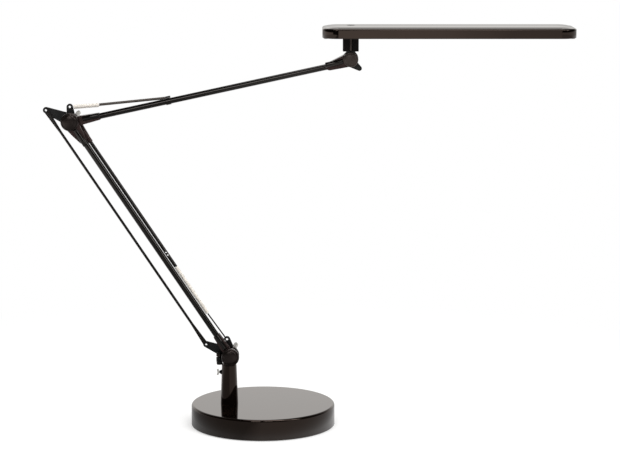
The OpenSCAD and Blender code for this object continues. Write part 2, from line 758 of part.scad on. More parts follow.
// Set screws that hold the tube in its fittings
module lower_arm_screws() color(steel) lower_frame() {
    for (x = [fork_l, lower_span - foot_l + 2 * set_screw_in])
        translate([x - set_screw_in, 0, 0]) set_screw();
}

module lower_lead() color([0.3, 0.3, 0.3]) lower_frame()
    arm_lead(slot_l + 5, lower_span - foot_bore - 2);

// Sleeve that guides the spring, with holes across it
module spring_sleeve() color(bronze) lower_frame()
    translate([sleeve_start + clear_gap, spring_y, spring_offset]) rotate([0, 90, 0])
        difference() {
            length = sleeve_end - sleeve_start - clear_gap;
            cylinder(d = sleeve_d, h = length);
            translate([0, 0, -eps]) cylinder(d = sleeve_d - 1.4, h = length + 2 * eps);
            for (back = [20, 24.5]) translate([0, 0, length - back]) rotate([90, 0, 0])
                cylinder(d = sleeve_hole_d, h = 2 * sleeve_d, center = true);
        }

// Coil of the lower spring, as the tube that its wire fills
module lower_spring() color(steel) lower_frame()
    translate([sleeve_end, spring_y, spring_offset]) rotate([0, 90, 0]) difference() {
        cylinder(d = spring_d, h = coil_end - sleeve_end);
        translate([0, 0, -eps])
            cylinder(d = spring_d - 2 * wire_d, h = coil_end - sleeve_end + 2 * eps);
    }

// Wire hook from the spring's end to the front of the bracket's lug
module lower_spring_hook() color([0.35, 0.35, 0.36]) lower_frame() {
    loop_at = [lug_in_arm.x, hook_y, lug_in_arm.y];
    start = [coil_end + clear_gap, spring_y, spring_offset];
    run = loop_at - start;
    bar(start, start + run * (norm(run) - loop_r) / norm(run), hook_d / 2);
    translate(loop_at) turned() translate([loop_r, 0]) circle(hook_d / 2, $fn = 32);
}

// Tie rod beside the lower arm, with flattened eyes on the plates' rivets
module tie_rod() color(black) translate([rod_pin.x, 0, rod_pin.y]) lower_frame() difference() {
    rod_inset = flange_r + clear_gap;
    union() {
        translate([rod_inset, rod_y, 0]) rotate([0, 90, 0])
            cylinder(d = rod_d, h = lower_span - 2 * rod_inset);
        for (end = [0, 1]) translate([end * lower_span, 0, 0]) mirror([end, 0, 0]) {
            pin(rod_eye_r, rod_y - rod_eye_t / 2, rod_y + rod_eye_t / 2);
            slab(rod_y - rod_eye_t / 3, rod_y + rod_eye_t / 3)
                link([0, 0], rod_eye_r - sink / 2, [rod_taper_l, 0], rod_d / 2 - sink);
        }
    }
    pin(barrel_r + clear_gap, 0, 2 * rod_y);
    translate([lower_span, 0, 0]) pin(barrel_r + run_gap, 0, 2 * rod_y);
}

// Elbow
module elbow_bolt() color(steel) at(elbow_pivot)
    pivot_bolt(bolt_r, bolt_head_w, bolt_head_h, -ear_out, bolt_tip_y);

module elbow_cap() color(black) at(elbow_pivot)
    bolt_cap(cap_r, cap_depth, -ear_out, bolt_head_w, bolt_head_h);

module elbow_washers() color([0.7, 0.7, 0.65]) at(elbow_pivot)
    washer_pair(friction_r, bolt_r + run_gap, tongue_half + slide_gap, ear_in);

module elbow_plate() color(black) at(elbow_pivot) link_plate(elbow_lug, lug_r);

module elbow_rivets() color(steel) at(elbow_pivot) plate_rivets(elbow_lug);

module elbow_back_washer() color(steel) at(elbow_pivot) turned()
    translate([bolt_r + run_gap, washer_y]) square([washer_r - bolt_r, washer_t]);

module elbow_wing_nut() color(steel) at(elbow_pivot) wing_nut(elbow_nut_turn);

// Upper arm
module upper_foot() color(bronze) upper_frame() arm_foot(upper_foot_w, upper_foot_l, elbow_rise);

module upper_tube() color(bronze) upper_frame() translate([0, 0, -elbow_rise])
    arm_tube(foot_bore + clear_gap, upper_span - upper_fork_l + 14);

module upper_lead() color([0.3, 0.3, 0.3]) upper_frame() translate([0, 0, -elbow_rise])
    arm_lead(foot_bore + 2, upper_span - upper_fork_l + 12);

// Fork at the head's tilt joint
module upper_fork() color(bronze) upper_frame_back() difference() {
    slot = knuckle_r + 1.5;
    arm_fork(head_ear_r, upper_fork_l, head_ear_in, head_ear_out, slot, head_rise);
    pin(head_bolt_r + fit_gap, -2 * head_ear_out, 2 * head_ear_out);
    translate([upper_fork_l - 14 - clear_gap, 0, -head_rise]) rotate([0, 90, 0])
        cylinder(r = tube_r + run_gap, h = upper_fork_l);
}

module upper_arm_screws() color(steel) upper_frame() {
    for (x = [upper_foot_l, upper_span - upper_fork_l + 2 * set_screw_in])
        translate([x - set_screw_in, 0, -elbow_rise]) set_screw();
}

// Rod that pulls the upper spring, from the spring to its band
module upper_spring_rod() color(bronze) upper_frame() bar(rod_from, rod_to, spring_rod_d / 2);

// Band around the tube with an ear for the rod's end
module upper_rod_band() color(bronze) upper_frame() difference() {
    union() {
        translate([rod_end - band_w / 2, 0, -elbow_rise]) rotate([0, 90, 0])
            cylinder(r = tube_r + band_t, h = band_w);
        translate([rod_end - band_w / 2, spring_y, rod_to.z]) rotate([0, 90, 0])
            cylinder(r = spring_rod_d / 2 + band_t, h = band_w);
        translate([rod_end - band_w / 2, 0, rod_to.z - band_ear_h])
            cube([band_w, spring_y, band_ear_h]);
    }
    translate([rod_end - band_w, 0, -elbow_rise]) rotate([0, 90, 0])
        cylinder(r = tube_r + run_gap, h = 2 * band_w);
    bar(rod_from, rod_to + (rod_to - rod_from) / 100, spring_rod_d / 2 + run_gap);
}

// Upper spring, as the round bar that its coil fills
module upper_spring() color(steel) upper_frame() {
    lug_at = [elbow_lug.x * cos(upper_slope) + elbow_lug.y * sin(upper_slope), spring_y,
        elbow_lug.y * cos(upper_slope) - elbow_lug.x * sin(upper_slope)];
    run = rod_from - lug_at;
    start = lug_at + run * (lug_r + 1) / norm(run);
    bar(start, rod_from - run * clear_gap / norm(run), upper_spring_d / 2);
}

// Head joint
module head_bolt() color(steel) at(head_pivot)
    pivot_bolt(head_bolt_r, head_bolt_head_w, head_bolt_head_h, -head_ear_out, knob_y + knob_h - 2);

module head_cap() color(black) at(head_pivot)
    bolt_cap(head_cap_r, head_cap_depth, -head_ear_out, head_bolt_head_w, head_bolt_head_h);

// Friction washers in the fork and the spacer behind it
module head_washers() color([0.7, 0.7, 0.65]) at(head_pivot) {
    washer_pair(7, head_bolt_r + run_gap, knuckle_half + slide_gap, head_ear_in);
    turned() translate([head_bolt_r + run_gap, head_ear_out])
        square([6 - head_bolt_r, spacer_t]);
}

// Knob with one blade that clamps the tilt
module head_knob() color(black) at(head_pivot) difference() {
    union() {
        turned() polygon([[0, knob_y], [knob_r, knob_y], [knob_r, knob_y + 4],
            [knob_r - 1.5, knob_y + 5.5], [7, knob_y + 5.5], [6, knob_y + knob_h],
            [0, knob_y + knob_h]]);
        slab(knob_y + 0.5, knob_y + 4.5) link([0, -5], 7, [blade_x, -blade_drop], 3.4);
    }
    pin(head_bolt_r + run_gap, knob_y - eps, knob_y + knob_h - 1.5);
}

// Knuckle: tongue of the tilt joint, collar and swivel pin of the head
module head_knuckle() color(bronze) at(head_pivot) difference() {
    union() {
        pin(knuckle_r, -knuckle_half, knuckle_half);
        translate([-knuckle_r + 2, -knuckle_half, 0])
            cube([2 * knuckle_r - 4, 2 * knuckle_half, collar_rise]);
        translate([0, 0, collar_rise]) cylinder(d = collar_d, h = collar_h);
        translate([0, 0, collar_rise]) cylinder(r = pin_r, h = pin_top - head_pivot.y - collar_rise);
    }
    pin(head_bolt_r + run_gap, -2 * knuckle_half, 2 * knuckle_half);
    translate([0, 0, pin_top - head_pivot.y - 9]) cylinder(r = neck_screw_r, h = 20);
}

// Bracket under the head, with a bore for the swivel pin
module neck_bracket() color(black) difference() {
    translate([head_pivot.x, 0, neck_bottom]) linear_extrude(neck_h) difference() {
        rounded(neck_w, neck_depth, 2);
        translate([-neck_groove_w / 2, -neck_depth / 2 - 1]) square([neck_groove_w, 2]);
    }
    translate([head_pivot.x, 0, neck_bottom - eps])
        cylinder(r = pin_r + run_gap, h = pin_top - neck_bottom + clear_gap + eps);
    translate([head_pivot.x, 0, neck_bottom]) cylinder(r = neck_screw_r + 0.4, h = 2 * neck_h);
    translate([head_pivot.x, 0, head_bottom - neck_well_h]) cylinder(r = neck_well_r, h = head_t);
    for (side = [-1, 1]) translate([head_pivot.x + side * key_at, 0, head_bottom - 8])
        cylinder(r = screw_r, h = screw_l);
}

// Screw that keeps the swivel pin in the bracket
module neck_screw() color(steel) translate([head_pivot.x, 0, 0]) {
    head_z = head_bottom - neck_well_h + slide_gap;
    translate([0, 0, head_z]) cylinder(r = neck_well_r - 0.7, h = 2.4);
    translate([0, 0, pin_top - 8]) cylinder(r = neck_screw_r, h = head_z - pin_top + 8 + 1);
}

// Head
// Frame that closes the head from below, with a window for the light
module head_frame() color([0.12, 0.11, 0.11]) difference() {
    inset = head_wall + fit_gap;
    union() {
        translate([head_mid, 0, head_bottom]) linear_extrude(frame_t)
            rounded(head_l - 2 * inset, head_w - 2 * inset, head_corner_r - inset);
        for (x = [-1, 1], y = [-1, 1])
            translate([board_x + x * (board_l / 2 - 4), y * (board_w / 2 - 4), head_bottom])
                cylinder(r = 2.5, h = board_z - head_bottom);
    }
    translate([window_x, 0, head_bottom - eps]) linear_extrude(2 * frame_t)
        rounded(window_l, window_w, 4);
    for (x = head_screw_x, y = [-1, 1])
        translate([head_mid + x, y * head_screw_y, head_bottom - eps])
            cylinder(r = screw_r + fit_gap, h = 2 * frame_t);
    translate([head_pivot.x, 0, head_bottom - eps]) {
        cylinder(r = neck_well_r, h = 2 * frame_t);
        for (side = [-1, 1]) translate([side * key_at, 0, 0])
            cylinder(r = screw_r + fit_gap, h = 2 * frame_t);
    }
}

// Panel of the light, in layers: diffuser, guide
module light_layer(bottom, thick) translate([window_x, 0, bottom]) linear_extrude(thick)
    rounded(window_l + 2 * lip, guide_w, 4);

module diffuser() color([0.95, 0.95, 0.95]) light_layer(panel_bottom, diffuser_t);

module light_guide() color([0.85, 0.9, 0.92]) light_layer(guide_bottom, guide_t);

// Strip along the guide's rear edge, with the LEDs facing the guide
module led_board() color([0.9, 0.9, 0.88])
    translate([window_left, led_y, guide_bottom - 0.5]) cube([window_l, led_board_t, guide_t + 1]);

module leds() color([0.95, 0.85, 0.3]) {
    pitch = window_l / led_count;
    for (i = [0:led_count - 1]) translate([window_left + (i + 0.5) * pitch - 1.4, led_y - led_t,
        guide_bottom + guide_t / 2 - 1]) cube([2.8, led_t, 2]);
}

// Driver board on the frame's posts, with the switch under the button
module driver_board() color([0.1, 0.35, 0.15]) {
    translate([board_x - board_l / 2, -board_w / 2, board_z]) cube([board_l, board_w, board_t]);
    translate([board_x, 0, board_z + board_t / 2])
        cylinder(r = 3, h = switch_top - board_z - board_t / 2);
    for (y = [-1, 1]) translate([board_x - 19, y * 13 - 4, board_z + board_t / 2])
        cube([10, 8, 4]);
}

// Shallow cover of the head, with bosses for the screws and a hole for the button
module head_cover() color(bronze) difference() {
    union() {
        difference() {
            hull() for (x = [-1, 1], y = [-1, 1])
                translate([head_mid + x * (head_l / 2 - head_corner_r),
                    y * (head_w / 2 - head_corner_r), head_bottom]) head_cover_corner();
            cover_pocket(head_wall, edge_bottom);
            cover_pocket(head_edge_r, cover_ceiling);
        }
        for (x = head_screw_x, y = [-1, 1])
            translate([head_mid + x, y * head_screw_y, head_bottom + frame_t])
                cylinder(r = head_boss_r, h = edge_bottom + sink - head_bottom - frame_t);
    }
    for (x = head_screw_x, y = [-1, 1])
        translate([head_mid + x, y * head_screw_y, head_bottom + frame_t - eps])
            cylinder(r = screw_r, h = screw_l);
    translate([board_x, 0, cover_ceiling - eps])
        cylinder(r = button_r + clear_gap, h = 2 * head_wall);
}

// One step of the cover's hollow, up to its ceiling
module cover_pocket(inset, ceiling) translate([head_mid, 0, head_bottom - eps])
    linear_extrude(ceiling - head_bottom + eps)
        rounded(head_l - 2 * inset, head_w - 2 * inset, head_corner_r - inset);

// Round corner of the head's cover, with its rounded upper edge
module head_cover_corner() rotate_extrude() polygon(concat([[0, 0], [head_corner_r, 0]],
    arc([head_corner_r - head_edge_r, head_t - head_edge_r], head_edge_r, 0, 90, 8),
    [[0, head_t]]));

// Screws of the frame and of the neck bracket
module head_screws() color(steel) {
    for (x = head_screw_x, y = [-1, 1])
        translate([head_mid + x, y * head_screw_y, head_bottom - screw_head_h]) {
            cylinder(r = screw_head_r, h = screw_head_h);
            cylinder(r = screw_r, h = screw_l);
        }
    for (side = [-1, 1])
        translate([head_pivot.x + side * key_at, 0, head_bottom + frame_t + screw_head_h]) {
            translate([0, 0, -screw_head_h]) cylinder(r = screw_head_r, h = screw_head_h);
            translate([0, 0, -screw_l]) cylinder(r = screw_r, h = screw_l);
        }
}

// Round button flush with the head's top; its stem reaches down to the switch
module dimmer_button() color(black) {
    translate([board_x, 0, cover_ceiling]) cylinder(r = button_r, h = head_wall);
    translate([board_x, 0, switch_top + button_travel + slide_gap])
        cylinder(r = 2, h = cover_ceiling - switch_top - button_travel + head_wall / 2);
}

base_cover();
base_weight();
base_plate();
base_pad();
base_screws();
post();
post_bolt();
post_bolt_washer();
screw_boss();
post_wing_screw();
swivel_yoke();
bracket_plate();
bracket_rivets();
lower_pivot_bolt();
lower_cap();
lower_washers();
lower_back_washer();
lower_wing_nut();
cord_gland();
lower_foot();
lower_tube();
lower_fork();
lower_arm_screws();
lower_lead();
spring_sleeve();
lower_spring();
lower_spring_hook();
tie_rod();
elbow_bolt();
elbow_cap();
elbow_washers();
elbow_plate();
elbow_rivets();
elbow_back_washer();
elbow_wing_nut();
upper_foot();
upper_tube();
upper_fork();
upper_arm_screws();
upper_lead();
upper_spring_rod();
upper_rod_band();
upper_spring();
head_bolt();
head_cap();
head_washers();
head_knob();
head_knuckle();
neck_bracket();
neck_screw();
head_frame();
diffuser();
light_guide();
led_board();
leds();
driver_board();
head_cover();
head_screws();
dimmer_button();
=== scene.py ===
import json
import math

import bmesh
import bpy
from mathutils import Matrix, Vector

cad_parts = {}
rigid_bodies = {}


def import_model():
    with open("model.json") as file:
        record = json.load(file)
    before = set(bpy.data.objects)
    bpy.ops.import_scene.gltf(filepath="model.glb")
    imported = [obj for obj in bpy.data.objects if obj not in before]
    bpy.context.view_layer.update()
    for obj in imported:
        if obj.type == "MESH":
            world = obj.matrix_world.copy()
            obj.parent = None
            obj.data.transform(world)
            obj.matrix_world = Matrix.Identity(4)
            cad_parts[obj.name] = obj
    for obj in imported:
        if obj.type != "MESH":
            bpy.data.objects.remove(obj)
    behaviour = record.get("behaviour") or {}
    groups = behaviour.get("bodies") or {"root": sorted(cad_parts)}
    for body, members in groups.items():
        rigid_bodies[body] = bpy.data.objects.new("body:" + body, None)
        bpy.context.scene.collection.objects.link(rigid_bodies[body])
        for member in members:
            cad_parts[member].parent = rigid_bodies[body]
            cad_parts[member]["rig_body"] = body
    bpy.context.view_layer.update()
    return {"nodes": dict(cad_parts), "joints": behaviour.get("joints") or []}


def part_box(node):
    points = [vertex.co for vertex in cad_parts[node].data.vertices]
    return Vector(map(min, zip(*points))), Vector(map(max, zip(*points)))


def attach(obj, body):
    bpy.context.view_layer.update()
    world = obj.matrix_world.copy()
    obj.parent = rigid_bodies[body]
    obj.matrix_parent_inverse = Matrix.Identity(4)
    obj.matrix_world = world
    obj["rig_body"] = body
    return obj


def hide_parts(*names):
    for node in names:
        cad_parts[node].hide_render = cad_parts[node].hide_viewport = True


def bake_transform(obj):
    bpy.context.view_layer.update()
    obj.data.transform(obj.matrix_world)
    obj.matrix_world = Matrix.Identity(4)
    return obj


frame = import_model()
nodes = frame["nodes"]
scene = bpy.context.scene
mm = 0.001

# Camera
# A long lens on a tripod, three metres in front of the lamp and a little above its head.
# It is level from side to side and dips towards the table.
camera_dip = 9.4
camera = bpy.data.objects.new("camera", bpy.data.cameras.new("camera"))
camera.data.sensor_width = 36
camera.data.lens = 125.3
camera.location = (0.067, -3.0, 0.7729)
camera.rotation_euler = (math.radians(90 - camera_dip), 0, 0)
scene.collection.objects.link(camera)
scene.camera = camera
scene.view_settings.view_transform = "Standard"


# Studio
# White sweep of paper that runs up behind the lamp, with a dimmer room on the camera's side.
# Three soft boxes stand in front of the lamp, and a long one hangs over its head.
def linear(hex_colour):
    """sRGB hex value as the linear colour that a shader takes."""
    levels = [int(hex_colour[i : i + 2], 16) / 255 for i in (1, 3, 5)]
    return (*[v / 12.92 if v <= 0.04045 else ((v + 0.055) / 1.055) ** 2.4 for v in levels], 1)


def add(tree, kind, inputs=None, **settings):
    """Adds a shader node with its settings, and its inputs as values or as links from sockets."""
    node = tree.nodes.new("ShaderNode" + kind)
    for name, value in settings.items():
        setattr(node, name, value)
    for name, value in (inputs or {}).items():
        if isinstance(value, bpy.types.NodeSocket):
            tree.links.new(value, node.inputs[name])
        else:
            node.inputs[name].default_value = value
    return node


room = bpy.data.worlds.new("studio_room")
room.use_nodes = True
# The room is too even to need a map of where its light comes from.
room.cycles.sampling_method = "NONE"
scene.world = room
tree = room.node_tree
tree.nodes.clear()
path = add(tree, "LightPath")
direction = add(tree, "SeparateXYZ", {0: add(tree, "TexCoord").outputs["Generated"]})
rightwards, backwards, upwards = (direction.outputs[axis] for axis in "XYZ")

# Gloss finishes mirror the paper behind, which is brightest between its foot and its upper end.
foot_light, full_light, end_light = 0.64, 1.3, 0.6
foot = add(tree, "MapRange", {"Value": upwards, "From Min": 0.04, "From Max": 0.18,
                              "To Min": foot_light, "To Max": full_light})
end = add(tree, "MapRange", {"Value": upwards, "From Min": 0.28, "From Max": 0.42,
                             "To Min": full_light, "To Max": end_light})
sweep = add(tree, "Math", {0: foot.outputs[0], 1: end.outputs[0]}, operation="MINIMUM")

# They also mirror the near side: a dark room, and below it a table that is dark left of the middle.
# Each stop of the table is its place from left (0) to right (1) and its light.
table_stops = ((0.16, 0.9), (0.2, 0.02), (0.47, 0.02), (0.5, 0.95), (0.53, 0.9), (0.548, 0.58))
table_power = 1.35
room_light = 0.015
across = add(tree, "MapRange", {"Value": rightwards, "From Min": -1.0, "From Max": 1.0})
table = add(tree, "ValToRGB", {0: across.outputs[0]})
ramp = table.color_ramp.elements
for place, light in table_stops:
    ramp.new(place).color = (light, light, light, 1)
ramp.remove(ramp[-1])
ramp.remove(ramp[0])
table = add(tree, "Math", {0: table.outputs[0], 1: table_power}, operation="MULTIPLY")
near_side = add(tree, "MapRange", {"Value": upwards, "From Min": -0.02, "From Max": 0.01,
                                   "To Min": table.outputs[0], "To Max": room_light})
around = add(tree, "MapRange", {"Value": backwards, "From Min": 0.2, "From Max": 0.95,
                                "To Min": near_side.outputs[0], "To Max": sweep.outputs[0]},
             interpolation_type="SMOOTHSTEP")

# Dull finishes get an even light, and the camera sees plain white.
glossy = add(tree, "Math", {0: path.outputs["Is Glossy Ray"], 1: path.outputs["Is Transmission Ray"]},
             operation="MAXIMUM")
even = add(tree, "Background", {"Color": linear("#fbfaf8"), "Strength": 0.62})
mirrored = add(tree, "Background", {"Color": linear("#fffdfa"), "Strength": around.outputs[0]})
white = add(tree, "Background", {"Color": (1, 1, 1, 1), "Strength": 1.0})
unseen = add(tree, "MixShader", {0: glossy.outputs[0], 1: even.outputs[0], 2: mirrored.outputs[0]})
shown = add(tree, "MixShader", {0: path.outputs["Is Camera Ray"], 1: unseen.outputs[0],
                                2: white.outputs[0]})
add(tree, "OutputWorld", {"Surface": shown.outputs[0]})

# The paper under the lamp takes its shadow and fades to pure white further out.
paper_grey = linear("#d9d9d9")
paper_glow = 0.42
fade_from, fade_to = 0.2, 0.9
paper = bpy.data.materials.new("white_paper")
paper.use_nodes = True
tree = paper.node_tree
tree.nodes.clear()
path = add(tree, "LightPath")
place = add(tree, "TexCoord").outputs["Object"]
sheet = add(tree, "BsdfDiffuse", {"Color": paper_grey})
glow = add(tree, "Emission", {"Strength": paper_glow})
shadowed = add(tree, "AddShader", {0: sheet.outputs[0], 1: glow.outputs[0]})
plain = add(tree, "Emission", {"Color": (1, 1, 1, 1), "Strength": 1.0})
reach = add(tree, "VectorMath", {0: place}, operation="LENGTH")
fade = add(tree, "MapRange", {"Value": reach.outputs["Value"], "From Min": fade_from,
                              "From Max": fade_to}, interpolation_type="SMOOTHSTEP")
shown = add(tree, "MixShader", {0: fade.outputs[0], 1: shadowed.outputs[0], 2: plain.outputs[0]})

# In gloss finishes it is full white behind the lamp and dimmer in front, above all just left of it.
left_light, middle_light, right_light, back_light = 0.9, 0.27, 0.55, 1.0
spot = add(tree, "SeparateXYZ", {0: place})
left = add(tree, "MapRange", {"Value": spot.outputs["X"], "From Min": -0.8, "From Max": -0.4,
                              "To Min": left_light, "To Max": middle_light})
front = add(tree, "MapRange", {"Value": spot.outputs["X"], "From Min": -0.03, "From Max": 0.0,
                               "To Min": left.outputs[0], "To Max": right_light})
back = add(tree, "MapRange", {"Value": spot.outputs["Y"], "From Min": -0.03, "From Max": 0.25,
                              "To Min": front.outputs[0], "To Max": back_light},
           interpolation_type="SMOOTHSTEP")
mirrored = add(tree, "Emission", {"Color": (1, 1, 1, 1), "Strength": back.outputs[0]})
unseen = add(tree, "MixShader", {0: path.outputs["Is Glossy Ray"], 1: sheet.outputs[0],
                                 2: mirrored.outputs[0]})
direct = add(tree, "Math", {0: path.outputs["Is Camera Ray"], 1: path.outputs["Is Transmission Ray"]},
             operation="MAXIMUM")
surface = add(tree, "MixShader", {0: direct.outputs[0], 1: unseen.outputs[0], 2: shown.outputs[0]})
add(tree, "OutputMaterial", {"Surface": surface.outputs[0]})


def link(name, mesh):
    """Puts a finished mesh into the scene as a piece of that name."""
    piece = bpy.data.objects.new(name, mesh)
    scene.collection.objects.link(piece)
    return piece


paper_drop = 0.2 * mm
paper_half = 4
bm = bmesh.new()
bmesh.ops.create_grid(bm, x_segments=1, y_segments=1, size=paper_half)
bmesh.ops.translate(bm, verts=bm.verts, vec=(0, 0, -paper_drop))
mesh = bpy.data.meshes.new("floor")
bm.to_mesh(mesh)
bm.free()
floor = link("floor", mesh)
floor.data.materials.append(paper)

# Each box has a name, its place, its width and length, and its power in watts.
aim = Vector((0, 0, 0.3))
for name, place, size, power in (("key_box", (-0.5, -2.6, 1.6), (0.7, 1.0), 8),
                                 ("fill_box", (2.2, -1.4, 1.9), (0.8, 1.4), 14),
                                 ("front_box", (0.4, -2.0, 2.2), (0.55, 0.9), 4),
                                 ("top_box", (0.39, -0.35, 2.7), (0.8, 2.7), 32)):
    lamp = bpy.data.lights.new(name, "AREA")
    lamp.shape = "RECTANGLE"
    lamp.size, lamp.size_y = size
    lamp.energy = power
    soft_box = bpy.data.objects.new(name, lamp)
    soft_box.location = place
    soft_box.rotation_euler = (aim - soft_box.location).to_track_quat("-Z", "Y").to_euler()
    scene.collection.objects.link(soft_box)


# Base
# Round moulded shell in gloss dark brown over a cast iron disc, closed by a steel plate.
# The plate is screwed to the shell from below, and a rubber pad is glued under it.
def rubbed_edges(tree, place):
    """Mask of the convex edges, broken into spots as rubbing breaks them."""
    rounded = add(tree, "Bevel", {"Radius": 0.5 * mm}, samples=4)
    normal = add(tree, "NewGeometry").outputs["Normal"]
    turn = add(tree, "VectorMath", {0: rounded.outputs[0], 1: normal}, operation="DOT_PRODUCT")
    edge = add(tree, "MapRange", {"Value": turn.outputs["Value"], "From Min": 0.86, "From Max": 0.995,
                                  "To Min": 1.0, "To Max": 0.0})
    spot = add(tree, "TexNoise", {"Vector": place, "Scale": 1 / (2.2 * mm), "Detail": 4})
    spot = add(tree, "MapRange", {"Value": spot.outputs["Fac"], "From Min": 0.48, "From Max": 0.62})
    return add(tree, "Math", {0: edge.outputs[0], 1: spot.outputs[0]}, operation="MULTIPLY").outputs[0]


def finish(name, colour, worn, roughness, metallic=0.0, patch=18, grain=0.0, grain_size=0.6, wear=0.25,
           tint=0.25, **sockets):
    """Material with blotches of tone and roughness, a fine bump and rubbed edges.

    The colour turns towards worn by tint in its blotches and by wear on its edges. patch and
    grain_size are the sizes of a blotch and of the bump in millimetres, and grain is the bump's
    strength. The bump is drawn coarser than the real skin, so that it shows.
    """
    material = bpy.data.materials.new(name)
    material.use_nodes = True
    tree = material.node_tree
    tree.nodes.clear()
    place = add(tree, "TexCoord").outputs["Object"]
    rubbed = add(tree, "Math", {0: rubbed_edges(tree, place), 1: wear}, operation="MULTIPLY")
    blotch = add(tree, "TexNoise", {"Vector": place, "Scale": 1 / (patch * mm), "Detail": 3})
    blotch = add(tree, "MapRange", {"Value": blotch.outputs["Fac"], "From Min": 0.35, "From Max": 0.65,
                                    "To Min": 0.0, "To Max": tint})
    # Sockets 6 and 7 of the Mix node are its two colours, and its output 2 is the mixed one.
    toned = add(tree, "Mix", {0: blotch.outputs[0], 6: linear(colour), 7: linear(worn)},
                data_type="RGBA")
    toned = add(tree, "Mix", {0: rubbed.outputs[0], 6: toned.outputs[2], 7: linear(worn)},
                data_type="RGBA")
    cloud = add(tree, "TexNoise", {"Vector": place, "Scale": 1 / (patch / 3 * mm), "Detail": 4})
    cloud = add(tree, "MapRange", {"Value": cloud.outputs["Fac"], "From Min": 0.35, "From Max": 0.7,
                                   "To Min": roughness[0], "To Max": roughness[1]})
    dull = add(tree, "Math", {0: cloud.outputs[0], 1: rubbed.outputs[0]}, operation="ADD")
    speck = add(tree, "TexNoise", {"Vector": place, "Scale": 1 / (grain_size * mm), "Detail": 2})
    bump = add(tree, "Bump", {"Strength": grain, "Distance": 0.1 * mm, "Height": speck.outputs["Fac"]})
    shader = add(tree, "BsdfPrincipled", {"Base Color": toned.outputs[2], "Metallic": metallic,
                                          "Roughness": dull.outputs[0], "Normal": bump.outputs[0],
                                          **sockets})
    add(tree, "OutputMaterial", {"Surface": shader.outputs[0]})
    return material


# Gloss lacquer on ABS: near black brown, mirror-like, with the faint waves of sprayed lacquer.
gloss_lacquer = finish("gloss_lacquer", "#060403", "#241a16", roughness=(0.02, 0.05), patch=40,
                       grain=0.015, grain_size=6, wear=0.12, tint=0.15,
                       **{"Specular Tint": linear("#ffe2d2")})
# Cast iron: grey, coarse and dull.
cast_iron = finish("cast_iron", "#3c3c3e", "#5a5856", metallic=1.0, roughness=(0.55, 0.75), patch=9,
                   grain=0.6, grain_size=1.2)
# Zinc-plated steel: pale, slightly blue, with clouded plating.
zinc_steel = finish("zinc_plated_steel", "#b9bbbd", "#8e9092", metallic=1.0, roughness=(0.22, 0.42),
                    patch=6, grain=0.08, grain_size=0.5, tint=0.6)
# Moulded rubber: flat black with a fine matt skin.
rubber = finish("moulded_rubber", "#141414", "#262524", roughness=(0.7, 0.85), patch=12, grain=0.35,
                grain_size=0.7)


def coat(material, slot, *names):
    """Gives CAD nodes a material."""
    for name in names:
        piece = nodes[name]
        piece.data.materials.clear()
        piece.data.materials.append(material)


# Heights that differ by less than a hair are the same.
hair = 0.01 * mm
base_edge_r = 3 * mm
base_wall = 2 * mm
base_flat_margin = 0.8 * mm
low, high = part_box("base_cover")
side_top = high.z - base_edge_r
bm = bmesh.new()
bmesh.ops.create_cone(bm, cap_ends=True, segments=192, radius1=high.x, radius2=high.x,
                      depth=high.z - low.z, matrix=Matrix.Translation((0, 0, (high.z + low.z) / 2)))
under = [face for face in bm.faces if face.normal.z < -0.9]
bmesh.ops.delete(bm, geom=under, context="FACES_ONLY")
top = [face for face in bm.faces if face.normal.z > 0.9]
bmesh.ops.bevel(bm, geom=top[0].edges, affect="EDGES", offset=base_edge_r, segments=8, profile=0.5,
                material=-1)
top = max(bm.faces, key=lambda face: face.calc_area())
bmesh.ops.inset_region(bm, faces=[top], thickness=base_flat_margin)
# The line where the upright side meets the rounded edge stays sharp, so the side mirrors evenly.
for edge in bm.edges:
    edge.smooth = any(abs(vert.co.z - side_top) > hair for vert in edge.verts)
mesh = bpy.data.meshes.new("base_shell")
bm.to_mesh(mesh)
bm.free()
mesh.shade_smooth()
shell = link("base_shell", mesh)
wall = shell.modifiers.new("wall", "SOLIDIFY")
wall.thickness = base_wall
shell.data.materials.append(gloss_lacquer)
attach(shell, "base")
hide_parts("base_cover")

coat(cast_iron, "cast_iron", "base_weight")
coat(zinc_steel, "zinc_steel", "base_plate", "base_screws", "post_bolt", "post_bolt_washer")
coat(rubber, "rubber", "base_pad")

# Post and swivel
# Steel post turned to a slight taper and lacquered like the base, pulled down by a bolt from below.
# The yoke of the arms turns in it and is held by a wing screw in a moulded boss.

# Nickel on zinc castings: bright and slightly warm. Its whiteness is partly the plating's own and partly
# a painted reflection of the bright studio.
nickel_painted_sheen = finish("nickel_plate_painted_sheen", "#f6f4f0", "#d4d0c9", metallic=0.5, roughness=(0.18, 0.32), patch=5,
                grain=0.05, grain_size=0.8, tint=0.4)
# Moulded nylon: satin near black with a spark-eroded skin.
black_plastic = finish("moulded_nylon", "#070504", "#221d1a", roughness=(0.24, 0.34), patch=14,
                       grain=0.08, grain_size=0.7, wear=0.15)

# Edges that turn by more than a crease, in degrees, stay sharp, and points nearer than a weld join.
crease = 35
weld = 0.002 * mm


def shaded(mesh, sharp_from=crease, flat=None):
    """Smooth shading that breaks at sharp edges and round faces over flat square millimetres."""
    mesh.shade_smooth()
    mesh.set_sharp_from_angle(angle=math.radians(sharp_from))
    if flat:
        around = {key for face in mesh.polygons if face.area > flat * mm * mm for key in face.edge_keys}
        for edge in mesh.edges:
            edge.use_edge_sharp = edge.use_edge_sharp or edge.key in around


